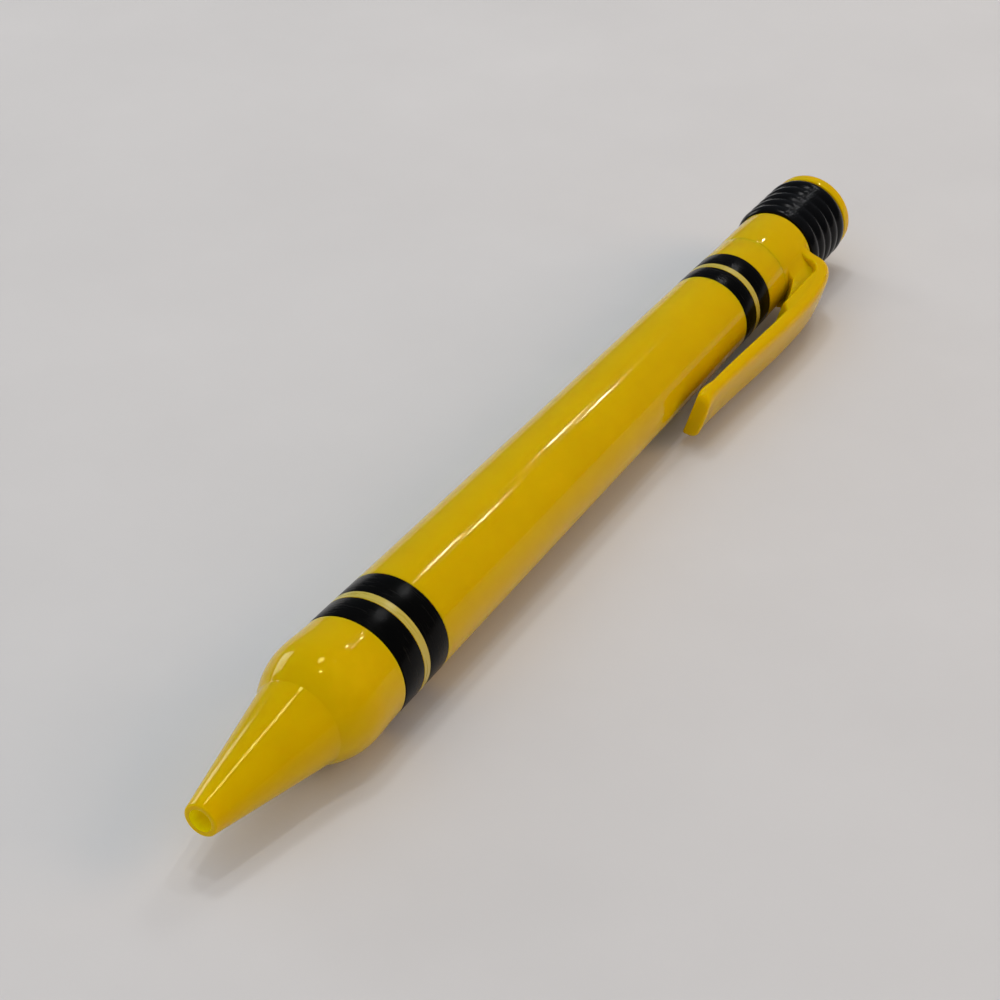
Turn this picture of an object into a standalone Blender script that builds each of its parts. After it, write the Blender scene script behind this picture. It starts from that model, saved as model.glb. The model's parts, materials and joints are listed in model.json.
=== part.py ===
# Retractable twist pen in the shape of a wax crayon, built as separate pieces on one axis.
# Stations run along the pen in millimetres from the nose tip (0) to the end cap's back face.
# The nose points to -X, the knob to +X, +Z is up and the clip is on the -Y side.

import math

import bmesh
import bpy
import numpy as np
from mathutils import Vector

for old in list(bpy.data.objects):
    bpy.data.objects.remove(old, do_unlink=True)

MM = 0.001

# Overall size
LENGTH = 140.0
SEGMENTS = 40
SMALL_SEGMENTS = 24

# Fits
SLIP = 0.10
RUNNING = 0.20
DRUM_CLEAR = 0.15
FILM_GAP = 0.06
POINT_CLEAR = 0.25
CUT_SPARE = 0.6
EDGE_ROUND = 0.3

# Refill, a stock size
BALL_R = 0.5
POINT_REST = 1.6
POINT_FRONT_R = 0.74
POINT_R = 1.15
POINT_CONE_LONG = 4.0
POINT_LONG = 9.0
POINT_PLUG_LONG = 3.0
TUBE_R = 1.5
TUBE_BORE_R = 1.2
TUBE_START = POINT_REST + POINT_LONG
INK_FREE = 21.5

# Return spring and the shoulder on the refill that it pushes
WIRE_R = 0.2
COIL_CLEAR = 0.45
COIL_R = TUBE_R + COIL_CLEAR + WIRE_R
COILS = 10
POINTS_PER_COIL = 8
WIRE_SIDES = 6
SPRING_END_GAP = 0.1
SPRING_SEAT = 9.0
SPRING_LONG = 16.0
SPRING_ROOM = 0.4
ADAPTER_START = SPRING_SEAT + SPRING_LONG
ADAPTER_LONG = 3.2
ADAPTER_LIP = 0.05
ADAPTER_R = COIL_R + WIRE_R + ADAPTER_LIP
ADAPTER_BEVEL = 0.4

# Barrel, a long tube that tapers to the back
BARREL_FRONT_R = 6.64
BARREL_TAPER = 0.0132
BARREL_WALL = 2.14
BARREL_BORE_R = BARREL_FRONT_R - BARREL_WALL

# Nose, measured from its tip
TIP_CLEAR = 0.15
TIP_BORE_R = POINT_R + TIP_CLEAR
TIP_WALL = 0.7
TIP_R = TIP_BORE_R + TIP_WALL
TIP_ROUND = 0.35
TIP_BEVEL = 0.1
TIP_BORE_LONG = 4.5
BORE_STEP = 0.4
CONE_LONG = 16.8
CREASE_DEEP = 1.39
CONE_R = BARREL_FRONT_R - CREASE_DEEP
SWELL_LONG = 5.4
SHOULDER_TOP = CONE_LONG + SWELL_LONG
SHOULDER_PROUD = 0.21
SHOULDER_R = BARREL_FRONT_R + SHOULDER_PROUD
SHOULDER_STEPS = 8
SETTLE_LONG = 4.7
NOSE_END = SHOULDER_TOP + SETTLE_LONG
POINT_WAY_R = TUBE_R + POINT_CLEAR
NOSE_ROOM_R = COIL_R + WIRE_R + SPRING_ROOM
ROOM_TAPER = 1.5
SOCKET_STEP = 0.4
SPIGOT_R = BARREL_BORE_R + SOCKET_STEP
SPIGOT_WALL = 1.5
SPIGOT_BORE_R = SPIGOT_R - SPIGOT_WALL
SPIGOT_LONG = 6.6
SOCKET_TAPER = 1.0

# Cap, knob and collar, each placed in front of the one behind it
CAP_LONG = 1.9
KNOB_LONG = 9.9
COLLAR_LONG = 7.6
CAP_START = LENGTH - CAP_LONG
KNOB_END = CAP_START - SLIP
KNOB_START = KNOB_END - KNOB_LONG
COLLAR_END = KNOB_START - RUNNING
COLLAR_START = COLLAR_END - COLLAR_LONG
BARREL_END = COLLAR_START - SLIP
COLLAR_R = BARREL_FRONT_R - BARREL_TAPER * (BARREL_END - NOSE_END)
COLLAR_STEP = 0.15
COLLAR_WALL = 1.1
COLLAR_BORE_R = BARREL_BORE_R - SLIP - COLLAR_WALL
COLLAR_SPIGOT_LONG = 7.3
COLLAR_SPIGOT_START = COLLAR_START - COLLAR_SPIGOT_LONG
KNOB_PROUD = 0.45
KNOB_FRONT_R = COLLAR_R + KNOB_PROUD
KNOB_NARROWS = 0.12
KNOB_BACK_R = KNOB_FRONT_R - KNOB_NARROWS
RIBS = 5
RIB_DEEP = 0.38
RIB_STEPS = 5
CAP_INSET = 0.08
CAP_R = KNOB_BACK_R - CAP_INSET
CAP_ROUND = 0.6
CAP_STEM_LONG = 8.0

# Black stripes, two to a band with a yellow line between them
FRONT_STRIPE_LONG = 3.8
FRONT_LINE = 1.1
REAR_BAND_BACK = 4.7
REAR_STRIPE_LONG = 3.0
REAR_LINE = 0.95
STRIPE_DEEP = 0.30
front_b = NOSE_END + FRONT_STRIPE_LONG + FRONT_LINE
rear_b = BARREL_END - REAR_BAND_BACK - REAR_STRIPE_LONG
rear_a = rear_b - REAR_LINE - REAR_STRIPE_LONG
FRONT_STRIPES = ((NOSE_END, NOSE_END + FRONT_STRIPE_LONG), (front_b, front_b + FRONT_STRIPE_LONG))
REAR_STRIPES = ((rear_a, rear_a + REAR_STRIPE_LONG), (rear_b, rear_b + REAR_STRIPE_LONG))

# Clip: a strip that leaves the collar's back end, arches over its crown and dips to a bead under its tip
CLIP_ANGLE = 16.8
CLIP_WIDE = 6.8
CLIP_THICK = 1.9
CLIP_TIP_THICK = 1.6
CLIP_CHAMFER = 0.35
CLIP_INSET = 0.1
CLIP_BACK = COLLAR_END - CLIP_INSET
CLIP_LONG = 37.3
CLIP_TIP = CLIP_BACK - CLIP_LONG
WAIST_LONG = 3.5
CLIP_WAIST = CLIP_TIP + WAIST_LONG
HEEL_LONG = 12.8
CLIP_CROWN = CLIP_BACK - HEEL_LONG
WAIST_RISE = 3.55
WAIST_RHO = COLLAR_R + WAIST_RISE
CROWN_RISE = 0.85
CROWN_RHO = WAIST_RHO + CROWN_RISE
CLIP_FLARE = 0.3
FLARE_POWER = 1.6
HEEL_RISE = 0.6
HEEL_RHO = COLLAR_R + HEEL_RISE
HEEL_WALL = 2.2
HEEL_POWER = 0.72
ROOT_SUNK = 0.75
BEAD_INSET = 1.2
BEAD_AT = CLIP_TIP + BEAD_INSET
BEAD_HIGH = 0.45
BEAD_HALF = 3.0
CLIP_STEPS = 28
HEEL_SHARE = 0.36

# Web that stiffens the clip's heel
WEB_WIDE = 5.0
WEB_FRONT = 12.4
WEB_LEAN = 3.2
WEB_LIFT = 0.4
WEB_SUNK = 0.9
WEB_SEAT = 0.7
WEB_BITE = 0.3
WEB_BACK_TOP = 4.2
WEB_BACK_LOW = 1.2

# Cam drum: a tube with two helical slots, and the shaft that carries the knob
TRAVEL = 5.0
TURN = 150.0
GUIDE_WALL = 0.65
GUIDE_BORE_R = BARREL_BORE_R - SLIP - GUIDE_WALL
GUIDE_LONG = 18.3
GUIDE_END = COLLAR_SPIGOT_START - SLIP
GUIDE_START = GUIDE_END - GUIDE_LONG
DRUM_R = GUIDE_BORE_R - DRUM_CLEAR
DRUM_WALL = 0.85
DRUM_BORE_R = DRUM_R - DRUM_WALL
DRUM_LONG = 17.2
DRUM_BACK_GAP = 0.5
DRUM_BACK_WALL = 3.9
DRUM_END = GUIDE_END - DRUM_BACK_GAP
DRUM_START = DRUM_END - DRUM_LONG
DRUM_BORE_END = DRUM_END - DRUM_BACK_WALL
BORE_POINT = 1.0
SLOT_STEPS = 24
SHAFT_R = COLLAR_BORE_R - RUNNING
SHAFT_WALL = 1.1
SHAFT_SHORT = 1.4
SHAFT_END = KNOB_END - SHAFT_SHORT
CAP_STEM_R = SHAFT_R - SHAFT_WALL - SLIP
CORE_SPARE = 6.1
SHAFT_CORE_START = CAP_START - CAP_STEM_LONG - CORE_SPARE
RING_INSET = 3.8
RING_AT = COLLAR_SPIGOT_START + RING_INSET
RING_GROOVE_DEEP = 0.6
RING_GROOVE_R = SHAFT_R - RING_GROOVE_DEEP
RING_GROOVE_WIDE = 1.3
RING_ROOM = 0.14
RING_SECTION_R = (COLLAR_BORE_R - RING_GROOVE_R - RING_ROOM) / 2

# Carrier and cross pin
PIN_R = 0.5
CARRIER_BACK_GAP = 1.3
CARRIER_LONG = 11.0
CARRIER_END = DRUM_BORE_END - CARRIER_BACK_GAP
CARRIER_START = CARRIER_END - CARRIER_LONG
CARRIER_BEVEL = 0.2
PIN_INSET = 4.2
PIN_REST = CARRIER_END - PIN_INSET
CUP_DEEP = 3.4


def barrel_r(station):
    return BARREL_FRONT_R - BARREL_TAPER * (station - NOSE_END)


def shade(name, colour, rough, metal=0.0):
    made = bpy.data.materials.new(name)
    made.use_nodes = True
    bsdf = made.node_tree.nodes["Principled BSDF"]
    bsdf.inputs["Base Color"].default_value = (*colour, 1.0)
    bsdf.inputs["Roughness"].default_value = rough
    bsdf.inputs["Metallic"].default_value = metal
    made.diffuse_color = (*colour, 1.0)
    return made


def make_object(name, bm, look):
    bmesh.ops.recalc_face_normals(bm, faces=bm.faces)
    mesh = bpy.data.meshes.new(name)
    bm.to_mesh(mesh)
    bm.free()
    made = bpy.data.objects.new(name, mesh)
    bpy.context.scene.collection.objects.link(made)
    if look is not None:
        mesh.materials.append(look)
    return made


def along(station, across=0.0, up=0.0):
    return Vector(((station - LENGTH / 2) * MM, across * MM, up * MM))


# Turn a closed outline of (station, radius) points round the pen's axis
def lathe(name, outline, look, segments=SEGMENTS):
    bm = bmesh.new()
    rings = []
    for station, radius in outline:
        if radius == 0.0:
            rings.append([bm.verts.new(along(station))])
            continue
        ring = []
        for i in range(segments):
            turn = 2 * math.pi * i / segments
            ring.append(bm.verts.new(along(station, radius * math.cos(turn), radius * math.sin(turn))))
        rings.append(ring)
    for here, there in zip(rings, rings[1:] + rings[:1]):
        for i in range(segments):
            j = (i + 1) % segments
            if len(here) == 1 and len(there) == 1:
                break
            if len(here) == 1:
                bm.faces.new((here[0], there[j], there[i]))
            elif len(there) == 1:
                bm.faces.new((here[i], here[j], there[0]))
            else:
                bm.faces.new((here[i], here[j], there[j], there[i]))
    return make_object(name, bm, look)


# Join a row of cross-sections, each a loop of points, into one closed body
def loft(name, sections, look):
    bm = bmesh.new()
    loops = [[bm.verts.new(point) for point in section] for section in sections]
    for here, there in zip(loops, loops[1:]):
        for i in range(len(here)):
            j = (i + 1) % len(here)
            bm.faces.new((here[i], here[j], there[j]))
            bm.faces.new((here[i], there[j], there[i]))
    bm.faces.new(list(reversed(loops[0])))
    bm.faces.new(loops[-1])
    return make_object(name, bm, look)


# Add or take away one body with an exact Boolean and keep the helper hidden
def combine(target, helper, how):
    step = target.modifiers.new(helper.name, "BOOLEAN")
    step.operation = how
    step.solver = "EXACT"
    step.object = helper
    helper.hide_render = True
    helper.display_type = "WIRE"


def arc(centre_s, centre_r, radius, start, stop, steps=4):
    out = []
    for i in range(steps + 1):
        turn = math.radians(start + (stop - start) * i / steps)
        out.append((centre_s + radius * math.cos(turn), centre_r + radius * math.sin(turn)))
    return out


YELLOW = (0.62, 0.40, 0.004)
BLACK = (0.006, 0.006, 0.007)
WHITE = (0.75, 0.75, 0.72)
STEEL = (0.55, 0.56, 0.58)
BRASS = (0.60, 0.43, 0.16)

# Nose: cone, rounded shoulder and a spigot that screws into the barrel
shoulder = []
for i in range(SHOULDER_STEPS + 1):
    part = i / SHOULDER_STEPS
    rise = 1 - (1 - part) ** 2
    shoulder.append((CONE_LONG + (SHOULDER_TOP - CONE_LONG) * part, CONE_R + (SHOULDER_R - CONE_R) * rise))
settle = []
for i in range(1, 4):
    part = i / 3
    ease = part * part * (3 - 2 * part)
    settle.append((SHOULDER_TOP + (NOSE_END - SLIP / 2 - SHOULDER_TOP) * part,
                   SHOULDER_R + (BARREL_FRONT_R - SHOULDER_R) * ease))
nose_outline = [(0.0, TIP_BORE_R + TIP_BEVEL), (0.0, TIP_R - TIP_ROUND)]
nose_outline += arc(TIP_ROUND, TIP_R - TIP_ROUND, TIP_ROUND, 150, 100, 3)
nose_outline += shoulder + settle
nose_outline += [(NOSE_END - SLIP / 2, SPIGOT_R)]
nose_outline += [(NOSE_END + SPIGOT_LONG - EDGE_ROUND, SPIGOT_R)]
nose_outline += [(NOSE_END + SPIGOT_LONG, SPIGOT_R - EDGE_ROUND)]
nose_outline += [(NOSE_END + SPIGOT_LONG, SPIGOT_BORE_R), (CONE_LONG, SPIGOT_BORE_R)]
nose_outline += [(CONE_LONG - ROOM_TAPER, NOSE_ROOM_R), (SPRING_SEAT, NOSE_ROOM_R)]
nose_outline += [(SPRING_SEAT, POINT_WAY_R), (TIP_BORE_LONG + BORE_STEP, POINT_WAY_R)]
nose_outline += [(TIP_BORE_LONG, TIP_BORE_R), (TIP_BEVEL, TIP_BORE_R)]
lathe("nose_cone", nose_outline, shade("nose_abs", YELLOW, 0.2))

# Barrel: outside with a shallow seat for each stripe, inside with a socket for the nose
barrel_outline = [(NOSE_END + SLIP / 2, SPIGOT_R + SLIP)]
for low, high in FRONT_STRIPES + REAR_STRIPES:
    if low == NOSE_END:
        low = NOSE_END + SLIP / 2
    else:
        barrel_outline.append((low, barrel_r(low)))
    barrel_outline.append((low, barrel_r(low) - STRIPE_DEEP))
    barrel_outline.append((high, barrel_r(high) - STRIPE_DEEP))
    barrel_outline.append((high, barrel_r(high)))
barrel_outline += [(BARREL_END - EDGE_ROUND / 2, barrel_r(BARREL_END))]
barrel_outline += [(BARREL_END, barrel_r(BARREL_END) - EDGE_ROUND / 2), (BARREL_END, BARREL_BORE_R)]
barrel_outline += [(NOSE_END + SPIGOT_LONG + SOCKET_TAPER, BARREL_BORE_R)]
barrel_outline += [(NOSE_END + SPIGOT_LONG + SLIP * 2, SPIGOT_R + SLIP)]
lathe("barrel", barrel_outline, shade("barrel_abs", YELLOW, 0.2))

# Stripes: thin rings that lie flush in their seats
band_names = ("front_band_stripe_a", "front_band_stripe_b", "rear_band_stripe_a", "rear_band_stripe_b")
for name, (low, high) in zip(band_names, FRONT_STRIPES + REAR_STRIPES):
    low = low + FILM_GAP + (SLIP / 2 if low == NOSE_END else 0.0)
    high = high - FILM_GAP
    inside = STRIPE_DEEP - FILM_GAP
    ring = [(low, barrel_r(low)), (high, barrel_r(high))]
    ring += [(high, barrel_r(high) - inside), (low, barrel_r(low) - inside)]
    lathe(name, ring, shade(name + "_film", BLACK, 0.12))

# Collar: a ring with a spigot for the barrel's back end
collar_outline = [(COLLAR_SPIGOT_START, COLLAR_BORE_R)]
collar_outline += [(COLLAR_SPIGOT_START, BARREL_BORE_R - SLIP), (COLLAR_START, BARREL_BORE_R - SLIP)]
collar_outline += [(COLLAR_START, COLLAR_R - COLLAR_STEP), (COLLAR_START + COLLAR_STEP, COLLAR_R)]
collar_outline += [(COLLAR_END - EDGE_ROUND / 2, COLLAR_R), (COLLAR_END, COLLAR_R - EDGE_ROUND / 2)]
collar_outline += [(COLLAR_END, COLLAR_BORE_R)]
collar = lathe("clip_collar", collar_outline, shade("collar_abs", YELLOW, 0.2))


# Clip: how far a station lies up the rise from the waist to the crown, eased at both ends
def crown_share(station):
    part = min(1.0, max(0.0, (station - CLIP_WAIST) / (CLIP_CROWN - CLIP_WAIST)))
    return part * part * (3 - 2 * part)


# The station and the distance from the axis of the strip's outer (0) or inner (1) edge, heel to tip
def clip_edge(part, inner):
    if part < HEEL_SHARE:
        turn = part / HEEL_SHARE * math.pi / 2
        reach = HEEL_LONG - HEEL_WALL * inner
        foot = HEEL_RHO - HEEL_RISE * inner
        top = CROWN_RHO - CLIP_THICK * inner
        rise = math.sin(turn) ** HEEL_POWER
        return np.array((CLIP_CROWN + reach * math.cos(turn) ** HEEL_POWER, foot + (top - foot) * rise))
    run = (part - HEEL_SHARE) / (1 - HEEL_SHARE)
    station = CLIP_CROWN + (CLIP_TIP - CLIP_CROWN) * run
    past = max(0.0, (CLIP_WAIST - station) / WAIST_LONG)
    rho = WAIST_RHO + CROWN_RISE * crown_share(station) + CLIP_FLARE * past ** FLARE_POWER
    lean = math.atan(FLARE_POWER * CLIP_FLARE * past ** (FLARE_POWER - 1) / WAIST_LONG) * inner
    bead = max(0.0, 1 - ((station - BEAD_AT) / BEAD_HALF) ** 2) ** 2
    thick = CLIP_TIP_THICK + (CLIP_THICK - CLIP_TIP_THICK) * crown_share(station) + BEAD_HIGH * bead
    return np.array((station - thick * math.sin(lean), rho - thick * math.cos(lean) * inner))


clip_turn = math.radians(CLIP_ANGLE)
CLIP_OUT = Vector((0.0, -math.cos(clip_turn), -math.sin(clip_turn)))
CLIP_SIDE = Vector((0.0, -math.sin(clip_turn), math.cos(clip_turn)))


def clip_point(station, rho, side):
    return along(station) + (CLIP_OUT * rho + CLIP_SIDE * side) * MM


# A strip's cross-section: a rectangle with its four corners cut
def strip_section(outer, inner, wide):
    half = wide / 2
    cut = CLIP_CHAMFER
    depth = np.array(inner) - np.array(outer)
    depth = depth / np.linalg.norm(depth) * cut
    loop = []
    for (station, rho), inward in ((outer, depth), (inner, -depth)):
        near = (station + inward[0], rho + inward[1])
        first = [(near, half), ((station, rho), half - cut)]
        second = [((station, rho), cut - half), (near, -half)]
        loop.append(first + second)
    around = loop[0] + list(reversed(loop[1]))
    return [clip_point(place[0], place[1], side) for place, side in around]


root = COLLAR_R - ROOT_SUNK
sections = [strip_section((CLIP_BACK, root), (CLIP_BACK - HEEL_WALL, root), CLIP_WIDE)]
for i in range(CLIP_STEPS + 1):
    part = i / CLIP_STEPS
    sections.append(strip_section(tuple(clip_edge(part, 0)), tuple(clip_edge(part, 1)), CLIP_WIDE))
strip = loft("clip_strip_form", sections, None)

# Web: a narrow wall between the collar and the clip's heel, clear of the barrel in front of the collar
web_low = COLLAR_R - WEB_SUNK
web_high = CROWN_RHO - CLIP_THICK + WEB_BITE
web_foot = COLLAR_R + WEB_LIFT
web_seat = COLLAR_START + WEB_SEAT
web_front = COLLAR_END - WEB_FRONT
web_edge = ((COLLAR_END - WEB_BACK_LOW, web_low), (web_seat, web_low), (web_seat, web_foot),
            (web_front + WEB_LEAN, web_foot), (web_front, web_high), (COLLAR_END - WEB_BACK_TOP, web_high))
web = []
for side in (-WEB_WIDE / 2, WEB_WIDE / 2):
    web.append([clip_point(station, rho, side) for station, rho in web_edge])
combine(strip, loft("web_form", web, None), "UNION")
combine(collar, strip, "UNION")

# Knob: a ribbed sleeve pressed on the cam shaft
knob_outline = [(KNOB_START, SHAFT_R + SLIP)]
pitch = (KNOB_END - KNOB_START) / RIBS
for rib in range(RIBS):
    for i in range(RIB_STEPS):
        part = (i + 0.5) / RIB_STEPS
        station = KNOB_START + pitch * (rib + part)
        crest = KNOB_FRONT_R + (KNOB_BACK_R - KNOB_FRONT_R) * (rib + part) / RIBS
        knob_outline.append((station, crest - RIB_DEEP * (1 - abs(math.sin(math.pi * part)) ** 0.7)))
    if rib == 0:
        knob_outline.insert(1, (KNOB_START, KNOB_FRONT_R - RIB_DEEP))
knob_outline += [(KNOB_END, KNOB_BACK_R - RIB_DEEP), (KNOB_END, SHAFT_R + SLIP)]
lathe("twist_knob", knob_outline, shade("knob_abs", BLACK, 0.15))

# End cap: a flat disc with a stem that plugs into the shaft
cap_outline = [(LENGTH, 0.0), (LENGTH, CAP_R - CAP_ROUND)]
cap_outline += arc(LENGTH - CAP_ROUND, CAP_R - CAP_ROUND, CAP_ROUND, 10, 90, 4)
cap_outline += [(CAP_START + EDGE_ROUND / 2, CAP_R), (CAP_START, CAP_R - EDGE_ROUND / 2)]
cap_outline += [(CAP_START, CAP_STEM_R), (CAP_START - CAP_STEM_LONG, CAP_STEM_R)]
cap_outline += [(CAP_START - CAP_STEM_LONG, 0.0)]
lathe("end_cap", cap_outline, shade("cap_abs", YELLOW, 0.2))

# Cam drum and shaft
drum_outline = [(DRUM_START, DRUM_BORE_R), (DRUM_START, DRUM_R), (DRUM_END, DRUM_R), (DRUM_END, SHAFT_R)]
drum_outline += [(RING_AT - RING_GROOVE_WIDE / 2, SHAFT_R), (RING_AT - RING_GROOVE_WIDE / 2, RING_GROOVE_R)]
drum_outline += [(RING_AT + RING_GROOVE_WIDE / 2, RING_GROOVE_R), (RING_AT + RING_GROOVE_WIDE / 2, SHAFT_R)]
drum_outline += [(SHAFT_END, SHAFT_R), (SHAFT_END, CAP_STEM_R + SLIP)]
drum_outline += [(SHAFT_CORE_START, CAP_STEM_R + SLIP), (SHAFT_CORE_START - BORE_POINT, 0.0)]
drum_outline += [(DRUM_BORE_END + BORE_POINT, 0.0), (DRUM_BORE_END, DRUM_BORE_R)]
drum = lathe("cam_drum", drum_outline, shade("drum_acetal", WHITE, 0.4))

# Two helical slots, half a turn apart, whose lead moves the pin by TRAVEL in TURN degrees
lead = TRAVEL / math.radians(TURN)
steep = math.atan2(lead, DRUM_BORE_R)
slot_half = (PIN_R + SLIP) / math.cos(steep)
spare = math.degrees((PIN_R + SLIP) / DRUM_BORE_R) + 1.0
slot_in = DRUM_BORE_R - CUT_SPARE
slot_out = DRUM_R + CUT_SPARE
for side in (0, 1):
    cutter = []
    for i in range(SLOT_STEPS + 1):
        degrees = spare - (TURN + 2 * spare) * i / SLOT_STEPS
        station = PIN_REST + lead * math.radians(degrees)
        turn = math.radians(90 + degrees + 180 * side)
        loop = []
        for radius, shift in ((slot_in, -1), (slot_out, -1), (slot_out, 1), (slot_in, 1)):
            spot = along(station + shift * slot_half, radius * math.cos(turn), radius * math.sin(turn))
            loop.append(spot)
        cutter.append(loop)
    combine(drum, loft("helix_slot_" + "ab"[side], cutter, None), "DIFFERENCE")

# Friction ring: a rubber ring in the shaft's groove that makes the knob stay where it is put
ring_mid = RING_GROOVE_R + SLIP / 2 + RING_SECTION_R
ring_outline = arc(RING_AT, ring_mid, RING_SECTION_R, 0, 315, 7)
lathe("friction_ring", ring_outline, shade("ring_rubber", BLACK, 0.6), SMALL_SEGMENTS)

# Guide sleeve with two straight slots
guide_outline = [(GUIDE_START, GUIDE_BORE_R), (GUIDE_START, BARREL_BORE_R - SLIP)]
guide_outline += [(GUIDE_END, BARREL_BORE_R - SLIP), (GUIDE_END, GUIDE_BORE_R)]
guide = lathe("guide_sleeve", guide_outline, shade("guide_acetal", WHITE, 0.45))
slot_low = PIN_REST - TRAVEL - PIN_R - SLIP * 2
slot_high = PIN_REST + PIN_R + SLIP * 2
cut_low = GUIDE_BORE_R - CUT_SPARE
cut_high = BARREL_BORE_R + CUT_SPARE
slot_corners = ((-1, cut_low), (1, cut_low), (1, cut_high), (-1, cut_high))
for side, name in ((1, "top_slot"), (-1, "bottom_slot")):
    half = PIN_R + SLIP
    box = []
    for station in (slot_low, slot_high):
        box.append([along(station, across * half, side * up) for across, up in slot_corners])
    combine(guide, loft(name, box, None), "DIFFERENCE")

# Carrier: a plug that holds the refill's back end, with a hole across it for the pin
carrier_r = DRUM_BORE_R - DRUM_CLEAR
cup_r = TUBE_R + SLIP
carrier_outline = [(CARRIER_START, cup_r), (CARRIER_START, carrier_r - CARRIER_BEVEL)]
carrier_outline += [(CARRIER_START + CARRIER_BEVEL, carrier_r), (CARRIER_END - CARRIER_BEVEL, carrier_r)]
carrier_outline += [(CARRIER_END, carrier_r - CARRIER_BEVEL), (CARRIER_END, 0.0)]
carrier_outline += [(CARRIER_START + CUP_DEEP, 0.0), (CARRIER_START + CUP_DEEP, cup_r)]
carrier = lathe("refill_carrier", carrier_outline, shade("carrier_acetal", WHITE, 0.4), SMALL_SEGMENTS)


def upright(name, radius, half, look, sides=20):
    loops = []
    for height in (-half, half):
        loop = []
        for i in range(sides):
            turn = 2 * math.pi * i / sides
            loop.append(along(PIN_REST + radius * math.cos(turn), radius * math.sin(turn), height))
        loops.append(loop)
    return loft(name, loops, look)


combine(carrier, upright("pin_hole", PIN_R + SLIP / 2, DRUM_R, None), "DIFFERENCE")
upright("cross_pin", PIN_R, BARREL_BORE_R - SLIP * 3, shade("pin_steel", STEEL, 0.3, 1.0))

# Refill: tube, ink, metal point with its ball, and the shoulder that the spring pushes on
tube_end = CARRIER_START + CUP_DEEP - SLIP
tube_outline = [(TUBE_START, TUBE_BORE_R), (TUBE_START, TUBE_R), (tube_end, TUBE_R), (tube_end, TUBE_BORE_R)]
lathe("refill_tube", tube_outline, shade("tube_pp", WHITE, 0.3), SMALL_SEGMENTS)
plug_end = TUBE_START + POINT_PLUG_LONG
ink_start = plug_end + SLIP
ink_r = TUBE_BORE_R - SLIP / 2
ink_end = tube_end - INK_FREE
ink_outline = [(ink_start, 0.0), (ink_start, ink_r), (ink_end, ink_r), (ink_end + ink_r / 3, 0.0)]
lathe("ink_column", ink_outline, shade("ink", (0.01, 0.02, 0.12), 0.1), SMALL_SEGMENTS)
ball_at = POINT_REST + BALL_R
point_front = ball_at + BALL_R * 0.1
socket_r = BALL_R + FILM_GAP
socket_end = ball_at + BALL_R + FILM_GAP
point_outline = [(point_front, socket_r), (point_front, POINT_FRONT_R)]
point_outline += [(POINT_REST + POINT_CONE_LONG, POINT_R)]
point_outline += [(TUBE_START - SLIP, POINT_R), (TUBE_START - SLIP, TUBE_BORE_R - SLIP)]
point_outline += [(plug_end, TUBE_BORE_R - SLIP), (plug_end, 0.0)]
point_outline += [(socket_end + BALL_R * 0.4, 0.0), (socket_end, socket_r)]
lathe("refill_point", point_outline, shade("point_brass", BRASS, 0.25, 1.0), SMALL_SEGMENTS)
ball_outline = [(ball_at - BALL_R, 0.0)]
ball_outline += arc(ball_at, 0.0, BALL_R, 157.5, 22.5, 6)
ball_outline += [(ball_at + BALL_R, 0.0)]
lathe("writing_ball", ball_outline, shade("ball_carbide", STEEL, 0.15, 1.0), 16)
adapter_end = ADAPTER_START + ADAPTER_LONG
adapter_outline = [(ADAPTER_START, TUBE_R + SLIP), (ADAPTER_START, ADAPTER_R)]
adapter_outline += [(adapter_end - ADAPTER_BEVEL, ADAPTER_R)]
adapter_outline += [(adapter_end, ADAPTER_R - ADAPTER_BEVEL), (adapter_end, TUBE_R + SLIP)]
lathe("spring_shoulder", adapter_outline, shade("shoulder_pp", WHITE, 0.35), SMALL_SEGMENTS)

# Return spring: one unbroken wire between the nose's seat and the refill's shoulder
low = SPRING_SEAT + SPRING_END_GAP + WIRE_R
high = ADAPTER_START - SPRING_END_GAP - WIRE_R
steps = COILS * POINTS_PER_COIL
path = []
for i in range(steps + 1):
    turn = 2 * math.pi * COILS * i / steps
    path.append(np.array((low + (high - low) * i / steps, COIL_R * math.cos(turn), COIL_R * math.sin(turn))))
wire = []
for i, here in enumerate(path):
    run = path[min(i + 1, steps)] - path[max(i - 1, 0)]
    run = run / np.linalg.norm(run)
    out = np.array((0.0, here[1], here[2])) / COIL_R
    out = out - run * float(out @ run)
    out = out / np.linalg.norm(out)
    side = np.cross(run, out)
    loop = []
    for k in range(WIRE_SIDES):
        turn = 2 * math.pi * k / WIRE_SIDES
        spot = here + WIRE_R * (out * math.cos(turn) + side * math.sin(turn))
        loop.append(along(*spot))
    wire.append(loop)
loft("return_spring", wire, shade("spring_steel", STEEL, 0.3, 1.0))

# The spring's least gap to itself, measured on the points of neighbouring coils
spots = np.array(path)
turns_apart = spots[POINTS_PER_COIL:] - spots[:-POINTS_PER_COIL]
least = float(np.linalg.norm(turns_apart, axis=1).min())
print("spring gap between coils, mm:", round(least - 2 * WIRE_R, 3))

# Seat the pen: the origin is the bottom centre of its box, and every piece's origin is on the pen's axis
bpy.context.view_layer.update()
graph = bpy.context.evaluated_depsgraph_get()
corners = []
for item in bpy.data.objects:
    if item.hide_render:
        continue
    shape = item.evaluated_get(graph).data
    places = np.empty(len(shape.vertices) * 3)
    shape.vertices.foreach_get("co", places)
    places = places.reshape(-1, 3)
    corners.append(places.min(axis=0))
    corners.append(places.max(axis=0))
low = np.min(corners, axis=0)
high = np.max(corners, axis=0)
axis_y = -(low[1] + high[1]) / 2
axis_z = -low[2]
for item in bpy.data.objects:
    item.location = (0.0, axis_y, axis_z)
print("box, mm:", np.round((high - low) * 1000, 3))
print("axis y and z, mm:", round(axis_y * 1000, 4), round(axis_z * 1000, 4))
print("pieces:", len([item for item in bpy.data.objects if not item.hide_render]))
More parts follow.
